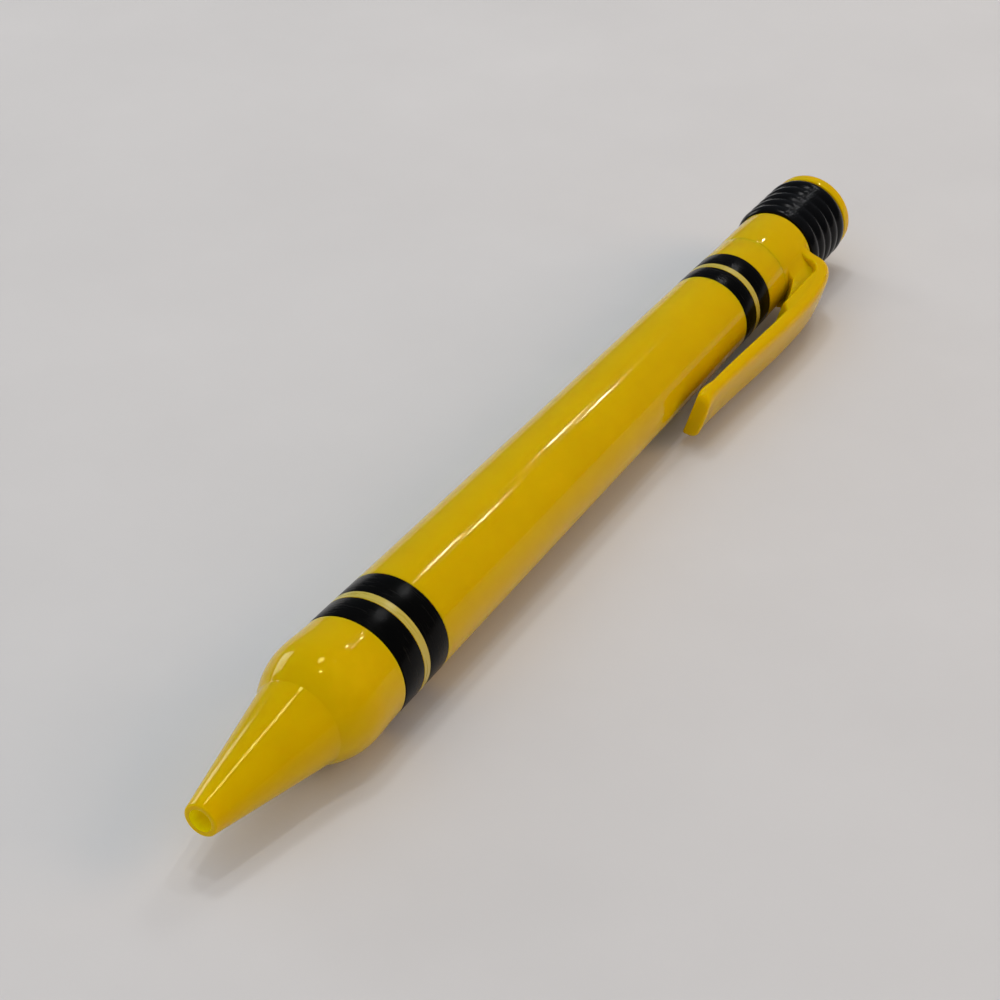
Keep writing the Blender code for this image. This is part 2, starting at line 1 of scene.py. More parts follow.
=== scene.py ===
# %% [markdown]
# # A crayon-shaped twist pen
# This lesson dresses a finished CAD pen for a picture. The CAD gives the true sizes and the moving
# bodies, but its round parts are made of flat facets. Here each visible piece is turned or lofted again
# with fine steps and rounded edges, gets the plastic or metal that the real one is made of, and rides
# on the CAD body that it belongs to. The inner pieces keep their CAD shape and get new materials.

# %% Load the CAD pen
import json
import math

import bmesh
import bpy
import numpy as np
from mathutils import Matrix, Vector


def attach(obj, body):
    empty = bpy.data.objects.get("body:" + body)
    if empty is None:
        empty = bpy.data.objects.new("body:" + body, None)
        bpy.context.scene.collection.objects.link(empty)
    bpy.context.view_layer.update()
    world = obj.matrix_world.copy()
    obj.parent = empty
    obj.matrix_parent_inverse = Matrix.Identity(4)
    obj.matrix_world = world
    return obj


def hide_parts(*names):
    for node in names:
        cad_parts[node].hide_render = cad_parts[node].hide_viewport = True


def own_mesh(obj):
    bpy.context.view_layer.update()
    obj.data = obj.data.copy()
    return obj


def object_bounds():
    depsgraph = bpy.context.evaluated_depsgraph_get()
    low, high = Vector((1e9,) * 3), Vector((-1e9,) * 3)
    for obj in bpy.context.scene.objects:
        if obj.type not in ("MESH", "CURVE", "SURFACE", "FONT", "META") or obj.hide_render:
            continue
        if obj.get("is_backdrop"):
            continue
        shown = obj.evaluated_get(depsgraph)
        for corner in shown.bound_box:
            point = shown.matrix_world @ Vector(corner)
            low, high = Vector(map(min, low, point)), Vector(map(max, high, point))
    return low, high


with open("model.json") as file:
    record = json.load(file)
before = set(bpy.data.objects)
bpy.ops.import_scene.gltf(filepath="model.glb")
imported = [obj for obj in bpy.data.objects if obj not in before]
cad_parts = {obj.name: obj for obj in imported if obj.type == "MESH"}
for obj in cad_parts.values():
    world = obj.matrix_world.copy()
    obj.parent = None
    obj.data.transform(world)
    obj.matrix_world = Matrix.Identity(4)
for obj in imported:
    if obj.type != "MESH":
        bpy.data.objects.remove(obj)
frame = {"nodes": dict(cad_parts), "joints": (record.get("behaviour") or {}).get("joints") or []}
cad_low, cad_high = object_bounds()
print("CAD box, mm:", [round(v * 1000, 2) for v in cad_high - cad_low])

# %% [markdown]
# ## One axis for every round piece
# A pen is a row of turned pieces on one line, so every shape below is written as pairs of a station and
# a radius in millimetres. The station counts from the nose tip. The line itself comes from the CAD
# model: the knob's joint lies on it.

# %% Find the pen's axis
MM = 0.001
knob_joint = next(j for j in frame["joints"] if j["name"] == "knob_turn")
AXIS_Y = knob_joint["pos_m"][1]
AXIS_Z = knob_joint["pos_m"][2]
TIP_X = cad_low.x
LENGTH = (cad_high.x - cad_low.x) / MM


def on_pen(station, across=0.0, up=0.0):
    return Vector((TIP_X + station * MM, AXIS_Y + across * MM, AXIS_Z + up * MM))


print("axis at y, z, mm:", round(AXIS_Y / MM, 3), round(AXIS_Z / MM, 3), "length:", round(LENGTH, 2))

# %% [markdown]
# ## Camera
# The photograph was taken from the nose end, about 35 degrees above the table. A long lens this close
# keeps the far end of the pen nearly as large as the near end. The camera comes first, because every
# later choice is judged through it. It has no roll, so one direction is enough to turn it.

# %% Place the camera
LENS_MM = 93.6
CAMERA_AT = Vector((-0.21635, AXIS_Y - 0.12021, 0.17857))
LOOK_ALONG = Vector((0.7010, 0.4140, -0.5807))

camera_data = bpy.data.cameras.new("photo_camera")
camera_data.sensor_width = 36.0
camera_data.lens = LENS_MM
camera = bpy.data.objects.new("photo_camera", camera_data)
bpy.context.scene.collection.objects.link(camera)
camera.location = CAMERA_AT
camera.rotation_mode = "QUATERNION"
camera.rotation_quaternion = LOOK_ALONG.to_track_quat("-Z", "Y")
camera_data.clip_start = 0.01
camera_data.clip_end = 20.0
bpy.context.scene.camera = camera
print("camera height, mm:", round(camera.location.z / MM, 1), "lens, mm:", LENS_MM)

# %% [markdown]
# ## Turning and lofting
# Nearly everything on a pen can be made in two ways. A turned piece is a closed outline swept round the
# axis. A lofted piece is a row of cross-sections joined like the ribs of a boat. Both are written with
# bmesh, so that each point is known. Faces are shaded smooth and only real edges are kept sharp.

# %% Helpers that make meshes
SMOOTH_ANGLE = math.radians(38)


def finish_mesh(name, bm, body, *replaced):
    bmesh.ops.recalc_face_normals(bm, faces=bm.faces)
    mesh = bpy.data.meshes.new(name)
    bm.to_mesh(mesh)
    bm.free()
    mesh.polygons.foreach_set("use_smooth", [True] * len(mesh.polygons))
    mesh.set_sharp_from_angle(angle=SMOOTH_ANGLE)
    piece = bpy.data.objects.new(name, mesh)
    bpy.context.scene.collection.objects.link(piece)
    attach(piece, body)
    if replaced:
        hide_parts(*replaced)
    print(name, "has", len(mesh.polygons), "faces and rides on", body)
    return piece


def turn_outline(bm, outline, segments):
    rings = []
    for station, radius in outline:
        if radius == 0.0:
            rings.append([bm.verts.new(on_pen(station))])
            continue
        ring = []
        for i in range(segments):
            angle = 2 * math.pi * i / segments
            ring.append(bm.verts.new(on_pen(station, radius * math.cos(angle), radius * math.sin(angle))))
        rings.append(ring)
    for here, there in zip(rings, rings[1:] + rings[:1]):
        if len(here) == 1 and len(there) == 1:
            continue
        for i in range(segments):
            j = (i + 1) % segments
            if len(here) == 1:
                bm.faces.new((here[0], there[j], there[i]))
            elif len(there) == 1:
                bm.faces.new((here[i], here[j], there[0]))
            else:
                bm.faces.new((here[i], here[j], there[j], there[i]))


def loft_sections(bm, sections):
    loops = [[bm.verts.new(point) for point in section] for section in sections]
    count = len(loops[0])
    for here, there in zip(loops, loops[1:]):
        for i in range(count):
            j = (i + 1) % count
            bm.faces.new((here[i], here[j], there[j], there[i]))
    bm.faces.new(list(reversed(loops[0])))
    bm.faces.new(loops[-1])


def round_corner(before, corner, after, radius, steps=5):
    corner = np.array(corner, float)
    to_before = np.array(before, float) - corner
    to_after = np.array(after, float) - corner
    to_before /= np.linalg.norm(to_before)
    to_after /= np.linalg.norm(to_after)
    half = math.acos(float(np.clip(to_before @ to_after, -1, 1))) / 2
    start = corner + to_before * radius / math.tan(half)
    stop = corner + to_after * radius / math.tan(half)
    bisect = to_before + to_after
    centre = corner + bisect / np.linalg.norm(bisect) * radius / math.sin(half)
    points = []
    for i in range(steps + 1):
        chord = start + (stop - start) * i / steps - centre
        points.append(tuple(centre + chord / np.linalg.norm(chord) * radius))
    return points


SEGMENTS = 144

# %% [markdown]
# ## Colours and shader nodes
# Colours are written as the hex values that a paint program shows. Blender works in linear light, so one
# function turns them over. One more function adds a shader node, sets its values and links its inputs:
# every material below is built with it. Patterns are sized in millimetres. The pieces sit at the origin
# with their true size in metres, so a noise with 1 mm features has a scale of 1000.

# %% Helpers that make materials


def linear(hex_colour):
    parts = [int(hex_colour[i:i + 2], 16) / 255 for i in (1, 3, 5)]
    return (*[c / 12.92 if c <= 0.04045 else ((c + 0.055) / 1.055) ** 2.4 for c in parts], 1.0)


def per_mm(feature):
    return 1.0 / (feature * MM)


def add_node(tree, kind, links=None, values=None, **settings):
    made = tree.nodes.new(kind)
    for name, value in settings.items():
        setattr(made, name, value)
    for key, value in (values or {}).items():
        made.inputs[key].default_value = value
    for key, (source, output) in (links or {}).items():
        tree.links.new(source.outputs[output], made.inputs[key])
    return made


# %% [markdown]
# ## What every finish shares
# A real surface is never one flat colour with one gloss. Three noises carry that here. The first lets the
# colour drift, and its highest spots are marks, where the surface is scuffed or dusty. The second makes some
# places duller than others. The third is the fine relief that breaks a reflection. Each finish below sets their
# sizes in millimetres from how it was made. A stretch below 1 draws the pattern out around the pen, as a tool
# or a turning hand does.

# %% Build a finish from its real sizes


def finish_look(name, colours, rough, drift_mm, rub_mm, grain_mm, relief_mm, stretch=1.0, sockets=None):
    made = bpy.data.materials.new(name)
    made.use_nodes = True
    tree = made.node_tree
    bsdf = tree.nodes["Principled BSDF"]
    place = add_node(tree, "ShaderNodeTexCoord")
    drawn = add_node(tree, "ShaderNodeMapping", {"Vector": (place, "Object")}, {"Scale": (1.0, stretch, stretch)})
    drift, rub, grain = [
        add_node(tree, "ShaderNodeTexNoise", {"Vector": (drawn, "Vector")},
                 {"Scale": per_mm(size), "Detail": detail, "Roughness": 0.6})
        for size, detail in ((drift_mm, 4.0), (rub_mm, 6.0), (grain_mm, 3.0))
    ]
    ramp = add_node(tree, "ShaderNodeValToRGB", {"Fac": (drift, "Fac")})
    ramp.color_ramp.elements.new(0.70)
    for element, position, colour in zip(ramp.color_ramp.elements, (0.35, 0.62, 0.74), colours):
        element.position = position
        element.color = linear(colour)
    spread = add_node(tree, "ShaderNodeMapRange", {"Value": (rub, "Fac")},
                      {"From Min": 0.3, "From Max": 0.7, "To Min": rough[0], "To Max": rough[1]})
    bump = add_node(tree, "ShaderNodeBump", {"Height": (grain, "Fac")}, {"Distance": relief_mm * MM})
    tree.links.new(ramp.outputs["Color"], bsdf.inputs["Base Color"])
    tree.links.new(spread.outputs["Result"], bsdf.inputs["Roughness"])
    tree.links.new(bump.outputs["Normal"], bsdf.inputs["Normal"])
    for socket, value in (sockets or {}).items():
        bsdf.inputs[socket].default_value = value
    print("made", name)
    return made


# %% [markdown]
# ## Moulded ABS
# The nose, the barrel, the collar and the end cap are ABS, an easy plastic to mould with a high gloss. To
# the eye it gives one strong even colour, sharp lamp reflections, and a very faint waviness left by the
# mould, called orange peel. ABS has an IOR of about 1.54. The colour drifts a little over some
# millimetres where the pigment flowed, and handling marks break the gloss. Yellow pigment lets light pass, so a thin
# wall glows: that is subsurface scattering, a few millimetres deep in red and green and hardly any in blue.
# The wall round the nose bore is the thinnest, so it has a look of its own with deeper subsurface scattering; its
# yellow is also painted paler and brighter, as painted light that stands in for the light reaching into the bore. Two
# values are not typical ABS but matched to the photograph: the yellow tint of the reflections, and their strength,
# which is set lower than plain ABS would give, most of all on the black parts.

# %% Make the yellow and black ABS
FLOW_MM = 9.0
RUB_MM = 2.4
PEEL_MM = 1.6
PEEL_HEIGHT_MM = 0.002
GRIP_PEEL_MM = 0.001
ABS_IOR = 1.54

YELLOW_ABS = finish_look(
    "moulded_abs_yellow", ("#C9A700", "#CDAB00", "#D3B104"), (0.035, 0.075),
    FLOW_MM, RUB_MM, PEEL_MM, PEEL_HEIGHT_MM,
    sockets={"IOR": ABS_IOR, "Specular IOR Level": 0.14, "Specular Tint": linear("#FFF270"), "Subsurface Weight": 0.75,
             "Subsurface Radius": (1.0, 0.65, 0.05), "Subsurface Scale": 2.4 * MM})
# The bore's look is partly painted light: its paler, brighter yellow stands in for light reaching into the bore, on
# top of the thin wall's real subsurface glow.
BORE_PAINTED_LIGHT_ABS = finish_look(
    "moulded_abs_yellow_bore_painted_light", ("#FCCC00", "#FDCE00", "#FED004"), (0.2, 0.3),
    FLOW_MM, RUB_MM, PEEL_MM, PEEL_HEIGHT_MM,
    sockets={"IOR": ABS_IOR, "Specular IOR Level": 0.24, "Subsurface Weight": 1.0,
             "Subsurface Radius": (1.0, 0.85, 0.05), "Subsurface Scale": 4.5 * MM})
BLACK_ABS = finish_look(
    "moulded_abs_black", ("#040405", "#060607", "#121213"), (0.17, 0.26),
    FLOW_MM, RUB_MM, PEEL_MM, GRIP_PEEL_MM,
    sockets={"IOR": ABS_IOR, "Specular IOR Level": 0.13})

# %% [markdown]
# ## Stamped foil
# The black stripes are hot-stamped foil: a film of gloss lacquer pressed on the plastic with heat. It is
# flatter than the moulded parts, with fine scuffs around the barrel where it was turned in the hand. The
# scuffs are drawn about 0.4 mm wide, coarser than real ones, because finer ones would not show. Between the two
# stripes of a band the foil's thin carrier lacquer lies over the yellow plastic, which looks paler and duller there.

# %% Make the black foil and its carrier lacquer
SCUFF_MM = 0.4
SCUFF_STRETCH = 0.12
PIT_MM = 0.6
PIT_HEIGHT_MM = 0.003
FOIL_IOR = 1.5

FOIL = finish_look(
    "stamped_foil_black", ("#030303", "#050504", "#1C1C1A"), (0.16, 0.32),
    SCUFF_MM, SCUFF_MM, PIT_MM, PIT_HEIGHT_MM,
    SCUFF_STRETCH, {"IOR": FOIL_IOR, "Specular IOR Level": 0.06})
CARRIER = finish_look(
    "foil_carrier_lacquer", ("#B5A440", "#BBAB46", "#C6B85E"), (0.22, 0.36),
    SCUFF_MM, SCUFF_MM, PIT_MM, PIT_HEIGHT_MM,
    SCUFF_STRETCH, {"IOR": FOIL_IOR})

# %% [markdown]
# ## Nose cone
# The nose is one moulding: a straight cone with a bored tip, a crease, and a shoulder that swells past the
# barrel's own size before it settles back to it. A turned outline is the natural way. The shoulder follows
# a parabola, steep at the crease and level at the top. The bore goes right through, so the refill can
# come out.

# %% Turn the nose cone
TIP_R = 2.0
TIP_ROUND = 0.2
TIP_EDGE_R = TIP_R - 0.07
BORE_ROUND = 0.08
TIP_BORE_R = 1.3
TIP_BORE_END = 4.5
CONE_END = 16.8
CONE_R = 5.25
SHOULDER_TOP = 22.2
SHOULDER_R = 6.85
NOSE_END = 26.9
BARREL_FRONT_R = 6.64
SEAM = 0.05
SPIGOT_R = 4.9
SPIGOT_BORE_R = 3.4
SPIGOT_END = 33.5
SPRING_SEAT = 9.0
POINT_WAY_R = 1.75
NOSE_ROOM_R = 2.75
CREASE_ROUND = 0.2
CONE_RINGS = 28
SHOULDER_STEPS = 24
SETTLE_STEPS = 12
NOSE_BACK_ROUND = 0.08
SPIGOT_CHAMFER = 0.3
ROOM_SLOPE = 1.5
WAY_SLOPE = 0.4
PAST_CREASE = 0.25

shoulder = []
for i in range(1, SHOULDER_STEPS + 1):
    part = i / SHOULDER_STEPS
    rise = 1 - (1 - part) ** 2
    shoulder.append((CONE_END + (SHOULDER_TOP - CONE_END) * part, CONE_R + (SHOULDER_R - CONE_R) * rise))
settle = []
for i in range(1, SETTLE_STEPS + 1):
    part = i / SETTLE_STEPS
    ease = part * part * (3 - 2 * part)
    settle.append((SHOULDER_TOP + (NOSE_END - SEAM - SHOULDER_TOP) * part,
                   SHOULDER_R + (BARREL_FRONT_R - SHOULDER_R) * ease))

nose_end = settle.pop()
nose_outline = round_corner((0.0, TIP_BORE_R), (0.0, TIP_EDGE_R), (CONE_END, CONE_R), TIP_ROUND)
for i in range(1, CONE_RINGS):
    part = i / CONE_RINGS
    nose_outline.append((CONE_END * part, TIP_EDGE_R + (CONE_R - TIP_EDGE_R) * part))
nose_outline += round_corner((0.0, TIP_EDGE_R), (CONE_END, CONE_R), shoulder[3], CREASE_ROUND, 6)
nose_outline += [point for point in shoulder if point[0] > CONE_END + PAST_CREASE] + settle
nose_outline += round_corner(settle[-1], nose_end, (nose_end[0], SPIGOT_R), NOSE_BACK_ROUND, 3)
nose_outline += [(NOSE_END - SEAM, SPIGOT_R), (SPIGOT_END - SPIGOT_CHAMFER, SPIGOT_R)]
nose_outline += [(SPIGOT_END, SPIGOT_R - SPIGOT_CHAMFER)]
nose_outline += [(SPIGOT_END, SPIGOT_BORE_R), (CONE_END, SPIGOT_BORE_R), (CONE_END - ROOM_SLOPE, NOSE_ROOM_R)]
nose_outline += [(SPRING_SEAT, NOSE_ROOM_R), (SPRING_SEAT, POINT_WAY_R)]
nose_outline += [(TIP_BORE_END + WAY_SLOPE, POINT_WAY_R)]
nose_outline += [(TIP_BORE_END, TIP_BORE_R)]
nose_outline += round_corner((TIP_BORE_END, TIP_BORE_R), (0.0, TIP_BORE_R), (0.0, TIP_R), BORE_ROUND, 4)

bm = bmesh.new()
turn_outline(bm, nose_outline, SEGMENTS)
nose = finish_mesh("nose_moulding", bm, "pen_body", "nose_cone")
nose.data.materials.append(YELLOW_ABS)
nose.data.materials.append(BORE_PAINTED_LIGHT_ABS)
# Faces inside the bore get the painted-light yellow.
bore_painted_light_faces = 0
for face in nose.data.polygons:
    station = (face.center.x - TIP_X) / MM
    radius = math.hypot(face.center.y - AXIS_Y, face.center.z - AXIS_Z) / MM
    if station < SPRING_SEAT and radius < POINT_WAY_R + BORE_ROUND and radius < TIP_BORE_R + station:
        face.material_index = 1
        bore_painted_light_faces += 1
print("faces in the thin bore:", bore_painted_light_faces)

# %% [markdown]
# ## Barrel
# The barrel is a long tube that gets narrower to the back, so that it slips off the steel core it was
# moulded on. A shallow seat for each stripe leaves a thin yellow line between the two stripes of a band.
# The seats are part of the outline. Their edges stay crisp, because the foil was stamped up to them.

# %% Turn the barrel
BARREL_TAPER = 0.0132
BARREL_END = 120.2
BARREL_BORE_R = 4.5
FRONT_STRIPES = ((NOSE_END, 30.7), (31.8, 35.6))
REAR_STRIPES = ((108.55, 111.55), (112.5, 115.5))
STRIPE_DEEP = 0.30
FIT = 0.10
BARREL_BACK_ROUND = 0.05


def barrel_r(station):
    return BARREL_FRONT_R - BARREL_TAPER * (station - NOSE_END)


barrel_outline = [(NOSE_END + SEAM, SPIGOT_R + FIT)]
for low, high in FRONT_STRIPES + REAR_STRIPES:
    if low == NOSE_END:
        low = NOSE_END + SEAM
    else:
        barrel_outline.append((low, barrel_r(low)))
    barrel_outline.append((low, barrel_r(low) - STRIPE_DEEP))
    barrel_outline.append((high, barrel_r(high) - STRIPE_DEEP))
    barrel_outline.append((high, barrel_r(high)))
barrel_back = (BARREL_END, barrel_r(BARREL_END))
barrel_outline += round_corner((BARREL_END - 5, barrel_r(BARREL_END - 5)), barrel_back,
                               (BARREL_END, BARREL_BORE_R), BARREL_BACK_ROUND, 4)
barrel_outline += [(BARREL_END, BARREL_BORE_R), (SPIGOT_END + 1.0, BARREL_BORE_R)]
barrel_outline += [(SPIGOT_END + 2 * FIT, SPIGOT_R + FIT)]

bm = bmesh.new()
turn_outline(bm, barrel_outline, SEGMENTS)
barrel = finish_mesh("barrel_moulding", bm, "pen_body", "barrel")
barrel.data.materials.append(YELLOW_ABS)
barrel.data.materials.append(CARRIER)

# %% Lay the carrier lacquer between the stripes of each band
lines = [(pair[0][1], pair[1][0]) for pair in (FRONT_STRIPES, REAR_STRIPES)]
lacquered = 0
for face in barrel.data.polygons:
    station = (face.center.x - TIP_X) / MM
    radius = math.hypot(face.center.y - AXIS_Y, face.center.z - AXIS_Z) / MM
    if radius > BARREL_BORE_R + STRIPE_DEEP and any(low < station < high for low, high in lines):
        face.material_index = 1
        lacquered += 1
print("faces under the carrier lacquer:", lacquered)

# %% [markdown]
# ## Stripes
# Each stripe is a thin ring that lies flush in its seat, with its two outer edges a little rounded, as
# foil is where the hot die pressed it down. Four rings from one loop keep them alike.

# %% Turn the stripes
FILM_GAP = 0.06
FILM_EDGE = 0.05
stripe_nodes = ("front_band_stripe_a", "front_band_stripe_b", "rear_band_stripe_a", "rear_band_stripe_b")
for node_name, (low, high) in zip(stripe_nodes, FRONT_STRIPES + REAR_STRIPES):
    low = low + FILM_GAP + (SEAM if low == NOSE_END else 0.0)
    high = high - FILM_GAP
    deep = STRIPE_DEEP - FILM_GAP
    outer = [(low, barrel_r(low)), (high, barrel_r(high))]
    inner = [(high, barrel_r(high) - deep), (low, barrel_r(low) - deep)]
    ring = round_corner(inner[1], outer[0], outer[1], FILM_EDGE, 3)
    ring += round_corner(outer[0], outer[1], inner[0], FILM_EDGE, 3)
    bm = bmesh.new()
    turn_outline(bm, ring + inner, SEGMENTS)
    stripe = finish_mesh(node_name + "_foil", bm, "pen_body", node_name)
    stripe.data.materials.append(FOIL)

# %% [markdown]
# ## Collar and clip
# The collar and the clip are one moulding. The clip leaves the collar's back end, arches forward over its crown
# and dips to a waist with a bead underneath, which grips the cloth of a pocket. Its tip turns out, so that cloth
# slides under it. A web behind the crown stiffens it, with a thicker pad right under the clip. The strip is lofted
# from rounded rectangles. Its root and the web widen into the collar along fillet arcs, so no hard crease is left
# when a Boolean joins the collar, the strip and the web into one closed body.

# %% Set the collar's and the clip's sizes
COLLAR_END = 127.9
COLLAR_R = barrel_r(BARREL_END)
COLLAR_SEAM = 0.015
COLLAR_STEP = 0.05
COLLAR_EDGE = 0.22
COLLAR_BORE_R = 3.3
COLLAR_SPIGOT_START = 113.0
CLIP_ANGLE = math.radians(16.8)
CLIP_WIDE = 6.8
CLIP_THICK = 1.9
CLIP_TIP_THICK = 1.6
CLIP_OUTER_ROUND = 1.05
CLIP_CROWNING = 0.22
FACE_STEPS = 6
CLIP_INNER_ROUND = 0.3
CROWNING_SHARE = 0.12
OUTER_SHARE = 0.55
INNER_SHARE = 0.3
TIP_CORNER = 1.0
CLIP_BACK = COLLAR_END - 0.1
CLIP_TIP = CLIP_BACK - 37.3
WAIST_LONG = 3.5
CLIP_WAIST = CLIP_TIP + WAIST_LONG
HEEL_LONG = 12.8
CLIP_CROWN = CLIP_BACK - HEEL_LONG
WAIST_RHO = COLLAR_R + 3.55
CROWN_RISE = 0.85
CROWN_RHO = WAIST_RHO + CROWN_RISE
CLIP_FLARE = 0.3
FLARE_POWER = 1.6
HEEL_RISE = 0.6
HEEL_RHO = COLLAR_R + HEEL_RISE
HEEL_WALL = 2.2
HEEL_POWER = 0.72
HEEL_SHARE = 0.36
BEAD_AT = CLIP_TIP + 1.2
BEAD_HIGH = 0.45
BEAD_HALF = 3.0
CLIP_STEPS = 110
CORNER_STEPS = 6
TIP_END_ROUND = 0.45
TIP_STEPS = 7
TIP_LAST_ANGLE = 84
ROOT_FILLET = 3.5
ROOT_LOW = 3.3
CLIP_OUT = Vector((0.0, -math.cos(CLIP_ANGLE), -math.sin(CLIP_ANGLE)))
CLIP_SIDE = Vector((0.0, -math.sin(CLIP_ANGLE), math.cos(CLIP_ANGLE)))


def clip_point(station, rho, side):
    return on_pen(station) + (CLIP_OUT * rho + CLIP_SIDE * side) * MM


def crown_share(station):
    part = min(1.0, max(0.0, (station - CLIP_WAIST) / (CLIP_CROWN - CLIP_WAIST)))
    return part * part * (3 - 2 * part)


def clip_edge(part, inner):
    if part < HEEL_SHARE:
        turn = part / HEEL_SHARE * math.pi / 2
        reach = HEEL_LONG - HEEL_WALL * inner
        foot = HEEL_RHO - HEEL_RISE * inner
        top = CROWN_RHO - CLIP_THICK * inner
        rise = math.sin(turn) ** HEEL_POWER
        return np.array((CLIP_CROWN + reach * math.cos(turn) ** HEEL_POWER, foot + (top - foot) * rise))
    run = (part - HEEL_SHARE) / (1 - HEEL_SHARE)
    station = CLIP_CROWN + (CLIP_TIP + TIP_END_ROUND - CLIP_CROWN) * run
    past = max(0.0, (CLIP_WAIST - station) / WAIST_LONG)
    rho = WAIST_RHO + CROWN_RISE * crown_share(station) + CLIP_FLARE * past ** FLARE_POWER
    lean = math.atan(FLARE_POWER * CLIP_FLARE * past ** (FLARE_POWER - 1) / WAIST_LONG) * inner
    bead = max(0.0, 1 - ((station - BEAD_AT) / BEAD_HALF) ** 2) ** 2
    thick = CLIP_TIP_THICK + (CLIP_THICK - CLIP_TIP_THICK) * crown_share(station) + BEAD_HIGH * bead
    return np.array((station - thick * math.sin(lean), rho - thick * math.cos(lean) * inner))


# %% [markdown]
# A fillet between a flat side and a round collar is an arc that touches both. Its centre lies one fillet radius
# out from each of them, so its place comes from one right triangle. The function gives the half width of a wall at
# a distance from the axis: it is the wall's own half width above the arc, and wider below.

# %% Work out the fillets


def filleted_half(half, rho, fillet):
    centre_side = half + fillet
    centre_rho = math.sqrt((COLLAR_R + fillet) ** 2 - centre_side ** 2)
    foot_rho = centre_rho * COLLAR_R / (COLLAR_R + fillet)
    below = min(max(centre_rho - rho, 0.0), centre_rho - foot_rho)
    return centre_side - math.sqrt(fillet ** 2 - below ** 2)


def scratch_form(name, bm):
    bmesh.ops.recalc_face_normals(bm, faces=bm.faces)
    mesh = bpy.data.meshes.new(name)
    bm.to_mesh(mesh)
    bm.free()
    made = bpy.data.objects.new(name, mesh)
    bpy.context.scene.collection.objects.link(made)
    return made


def combine(form, other, how):
    step = form.modifiers.new(how, "BOOLEAN")
    step.operation = how
    step.solver = "EXACT"
    step.object = other
    made = bpy.data.meshes.new_from_object(form.evaluated_get(bpy.context.evaluated_depsgraph_get()))
    form.modifiers.clear()
    form.data = made
    bpy.data.objects.remove(other)


def rounded_section(outer, inner, wide, shrink=0.0):
    outer = np.array(outer, float)
    depth = np.array(inner, float) - outer
    inward = depth / np.linalg.norm(depth)
    outer = outer + inward * shrink
    thick = float(np.linalg.norm(depth)) - 2 * shrink
    half = wide / 2
    crowning = min(CLIP_CROWNING, thick * CROWNING_SHARE)
    outer_round = min(CLIP_OUTER_ROUND, thick * OUTER_SHARE)
    inner_round = min(CLIP_INNER_ROUND, thick * INNER_SHARE)
    around = []
    for i in range(CORNER_STEPS + 1):
        angle = math.radians(90 * i / CORNER_STEPS)
        around.append((half - outer_round + outer_round * math.cos(angle), outer_round * (1 - math.sin(angle))))
    for i in range(1, FACE_STEPS // 2 + 1):
        around.append(((half - outer_round) * (1 - 2 * i / FACE_STEPS), 0.0))
    around = [(side, deep + crowning * (side / half) ** 2) for side, deep in around]
    around += [(-side, deep) for side, deep in reversed(around[:-1])]
    for sign in (-1, 1):
        corner = []
        for i in range(CORNER_STEPS + 1):
            angle = math.radians(90 * i / CORNER_STEPS)
            side = half - inner_round + inner_round * math.cos(angle)
            corner.append((sign * side, thick - inner_round + inner_round * math.sin(angle)))
        around += corner if sign < 0 else reversed(corner)
    points = []
    for side, deep in around:
        spot = outer + inward * deep
        points.append(clip_point(spot[0], spot[1], side))
    return points


def tip_width(station):
    short = TIP_CORNER - min(TIP_CORNER, max(0.0, station - CLIP_TIP))
    return CLIP_WIDE - 2 * (TIP_CORNER - math.sqrt(TIP_CORNER ** 2 - short ** 2))


print("root fillet widens the clip to, mm:", round(2 * filleted_half(CLIP_WIDE / 2, 0.0, ROOT_FILLET), 2))

# %% Turn the collar and loft the clip's strip onto it
collar_face = BARREL_END + COLLAR_SEAM
collar_outline = [(COLLAR_SPIGOT_START, COLLAR_BORE_R), (COLLAR_SPIGOT_START, BARREL_BORE_R - FIT)]
collar_outline += [(collar_face, BARREL_BORE_R - FIT)]
collar_outline += round_corner((collar_face, BARREL_BORE_R), (collar_face, COLLAR_R), (COLLAR_END, COLLAR_R),
                               COLLAR_STEP, 5)
collar_outline += round_corner((collar_face, COLLAR_R), (COLLAR_END, COLLAR_R), (COLLAR_END, COLLAR_BORE_R),
                               COLLAR_EDGE, 5)
collar_outline += [(COLLAR_END, COLLAR_BORE_R)]
bm = bmesh.new()
turn_outline(bm, collar_outline, SEGMENTS)
moulding = scratch_form("collar_form", bm)

sections = []
ROOT_STEPS = 14
for i in range(ROOT_STEPS):
    up = i / ROOT_STEPS
    outer_rho = ROOT_LOW + (HEEL_RHO - ROOT_LOW) * up
    inner_rho = ROOT_LOW + (HEEL_RHO - HEEL_RISE - ROOT_LOW) * up
    wide = 2 * filleted_half(CLIP_WIDE / 2, outer_rho, ROOT_FILLET)
    sections.append(rounded_section((CLIP_BACK, outer_rho), (CLIP_BACK - HEEL_WALL, inner_rho), wide))
for i in range(CLIP_STEPS + 1):
    part = i / CLIP_STEPS
    outer, inner = clip_edge(part, 0), clip_edge(part, 1)
    root_wide = 2 * filleted_half(CLIP_WIDE / 2, outer[1], ROOT_FILLET)
    sections.append(rounded_section(outer, inner, min(root_wide, max(tip_width(outer[0]), 0.0))
                                    if outer[0] < CLIP_WAIST else root_wide))
before = clip_edge(1 - 1 / CLIP_STEPS, 0)
onward = (outer - before) / np.linalg.norm(outer - before)
for i in range(1, TIP_STEPS + 1):
    angle = math.radians(TIP_LAST_ANGLE * i / TIP_STEPS)
    ahead = onward * TIP_END_ROUND * math.sin(angle)
    shrink = TIP_END_ROUND * (1 - math.cos(angle))
    sections.append(rounded_section(outer + ahead, inner + ahead, tip_width(outer[0] + ahead[0]), shrink))
bm = bmesh.new()
loft_sections(bm, sections)
combine(moulding, scratch_form("strip_form", bm), "UNION")
print("strip lofted from", len(sections), "sections")

# %% [markdown]
# The web fills the corner between the clip and the collar. It starts below the collar's skin, so the two always
# overlap, and flares out along its own fillet. Near the top it swells into a pad that is as wide as the clip. Both
# lean back towards the collar on their front side. A turned saddle cuts away what would lie inside the barrel, and
# the web is then joined to the rest.

